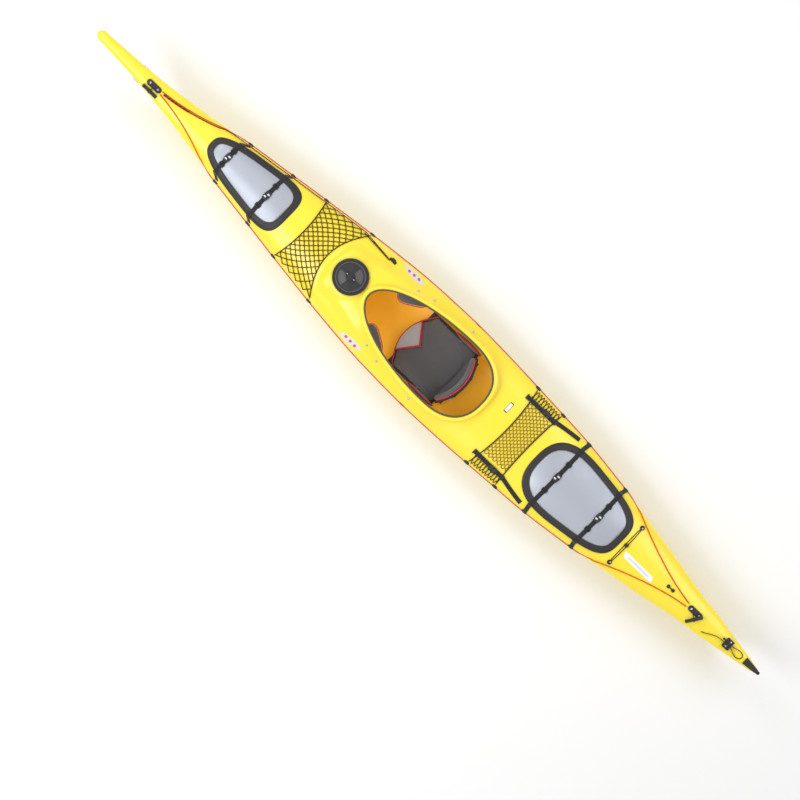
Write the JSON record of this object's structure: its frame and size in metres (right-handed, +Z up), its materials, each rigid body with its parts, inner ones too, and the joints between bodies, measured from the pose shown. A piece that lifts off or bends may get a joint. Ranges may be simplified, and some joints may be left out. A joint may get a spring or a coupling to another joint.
{
  "type": "touring sea kayak",
  "caption": "Touring sea kayak with two strapped hatches, round day hatch, cockpit with seat and backrest, foot pedals, deck nets and lines.",
  "frame": {"origin": "on the keel line's lowest level, at the middle of the overall length and beam", "axes": "+X to the bow, +Y to port, +Z up"},
  "size_m": [4.9, 0.608, 0.4213],
  "materials": {
    "hull_plastic": "glossy moulded plastic",
    "trim_rubber": "matt rubber edge",
    "bulkhead_foam": "closed-cell foam",
    "hatch_frame": "black rubber rim",
    "hatch_panel": "satin metallic grey lid",
    "webbing": "woven polyester webbing",
    "black_plastic": "moulded black nylon",
    "elastic_cord": "braided cord",
    "deck_line": "braided orange-red line",
    "pod_plastic": "moulded pod",
    "steel": "stainless steel",
    "upholstery": "dark grey seat fabric with red piping",
    "rail_metal": "anodised rail"
  },
  "bodies": {
    "root": {"hull_shell": "hull_plastic", "deck_shell": "hull_plastic", "coaming": "hull_plastic", "coaming_trim": "trim_rubber", "front_bulkhead": "bulkhead_foam", "rear_bulkhead": "bulkhead_foam", "strap_lugs": "black_plastic", "front_net": "elastic_cord", "rear_net": "elastic_cord", "net_lugs": "black_plastic", "rear_webbing": "webbing", "day_hatch_ring": "black_plastic", "day_hatch_pod": "pod_plastic", "bow_fitting": "black_plastic", "stern_fitting": "black_plastic", "fitting_screws": "steel", "bow_eye": "steel", "perimeter_line": "deck_line", "painter": "elastic_cord", "painter_cleat": "black_plastic", "park_bungee": "elastic_cord", "park_discs": "black_plastic", "deck_eye": "black_plastic", "seat_pan": "black_plastic", "seat_block": "bulkhead_foam", "seat_pad": "upholstery", "backrest_hinge": "steel", "left_thigh_brace": "upholstery", "right_thigh_brace": "upholstery", "brace_bolts": "steel", "side_buttons": "black_plastic", "foot_rails": "rail_metal", "stern_bracket": "black_plastic", "stern_cord": "elastic_cord", "cord_lock": "black_plastic", "lock_spring": "steel"},
    "front_cover": {"front_hatch_frame": "hatch_frame", "front_hatch_panel": "hatch_panel", "front_hatch_seal": "trim_rubber", "front_hatch_straps": "webbing", "front_hatch_buckles": "black_plastic"},
    "rear_cover": {"rear_hatch_frame": "hatch_frame", "rear_hatch_panel": "hatch_panel", "rear_hatch_seal": "trim_rubber", "rear_hatch_straps": "webbing", "rear_hatch_buckles": "black_plastic"},
    "day_lid": {"day_hatch_lid": "black_plastic", "day_hatch_grip": "black_plastic"},
    "backrest": {"backrest_sleeve": "black_plastic", "backrest_shell": "black_plastic", "backrest_pad": "upholstery", "ratchet_base": "steel"},
    "ratchet": {"ratchet_lever": "steel"},
    "left_foot": {"left_pedal": "black_plastic"},
    "right_foot": {"right_pedal": "black_plastic"},
    "bow_handle": {"bow_toggle": "black_plastic", "bow_toggle_cord": "elastic_cord"},
    "stern_handle": {"stern_toggle": "black_plastic", "stern_toggle_cord": "elastic_cord"},
    "cord_button": {"lock_button": "black_plastic"}
  },
  "joints": [
    {"name": "front_hatch_lift", "type": "slide", "parent": "root", "child": "front_cover", "axis": [0, 0, 1], "range_m": [0, 0.15]},
    {"name": "rear_hatch_lift", "type": "slide", "parent": "root", "child": "rear_cover", "axis": [0, 0, 1], "range_m": [0, 0.15]},
    {"name": "day_hatch_turn", "type": "hinge", "parent": "root", "child": "day_lid", "pos_m": [0.589, 0, 0.3664], "axis": [0, 0, 1], "range_deg": [0, 90]},
    {"name": "backrest_tilt", "type": "hinge", "parent": "root", "child": "backrest", "pos_m": [-0.249, 0, 0.084], "axis": [0, 1, 0], "range_deg": [-18, 5]},
    {"name": "ratchet_lift", "type": "hinge", "parent": "backrest", "child": "ratchet", "pos_m": [-0.25301, 0.022, 0.208], "axis": [0, -1, 0], "range_deg": [0, 60]},
    {"name": "left_pedal_slide", "type": "slide", "parent": "root", "child": "left_foot", "axis": [0.9923, -0.124, 0], "range_m": [-0.12, 0.12]},
    {"name": "right_pedal_slide", "type": "slide", "parent": "root", "child": "right_foot", "axis": [0.9923, 0.124, 0], "range_m": [-0.12, 0.12]},
    {"name": "bow_handle_swing", "type": "hinge", "parent": "root", "child": "bow_handle", "pos_m": [2.04509, 0.0206, 0.35659], "axis": [0.9786, 0, 0.2059], "range_deg": [0, 90]},
    {"name": "stern_handle_swing", "type": "hinge", "parent": "root", "child": "stern_handle", "pos_m": [-1.97694, 0.0206, 0.29982], "axis": [0.5119, 0.8192, -0.2588], "range_deg": [0, 55]},
    {"name": "cord_lock_press", "type": "slide", "parent": "root", "child": "cord_button", "axis": [0, 0, 1], "range_m": [-0.004, 0], "stiffness_N_per_m": 600, "springref_m": 0.001, "deforming": ["lock_spring"]}
  ]
}
